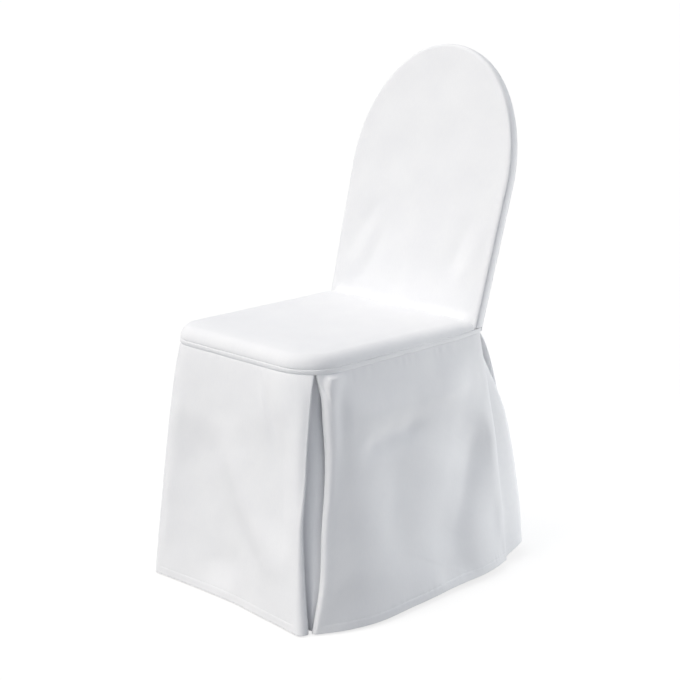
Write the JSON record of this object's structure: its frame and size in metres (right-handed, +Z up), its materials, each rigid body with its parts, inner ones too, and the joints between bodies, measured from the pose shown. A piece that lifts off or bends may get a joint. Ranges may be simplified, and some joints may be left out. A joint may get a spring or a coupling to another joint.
{
  "type": "chair cover",
  "caption": "White fitted cover for a round-backed banquet chair: seat panel with piped waist seam, leaning arched back and a skirt to the floor with pleats at its corners.",
  "frame": {"origin": "underside of the seat panel at the middle of the seat, where the chair's seat carries the cover", "axes": "+Z up, -Y the way the chair faces, +X to the right of a viewer in front of it"},
  "size_m": [0.5624, 0.6487, 0.959],
  "materials": {
    "white_cloth": "matte plain weave",
    "piping_cloth": "matte plain weave over a flattened cord"
  },
  "bodies": {
    "root": {"seat_top": "white_cloth", "seat_piping": "piping_cloth", "inside_back": "white_cloth", "back_edge_band": "white_cloth", "outside_back": "white_cloth", "skirt_front": "white_cloth", "skirt_right": "white_cloth", "skirt_back": "white_cloth", "skirt_left": "white_cloth", "pleat_front_right": "white_cloth", "pleat_rear_right": "white_cloth", "pleat_rear_left": "white_cloth", "pleat_front_left": "white_cloth"}
  },
  "joints": []
}
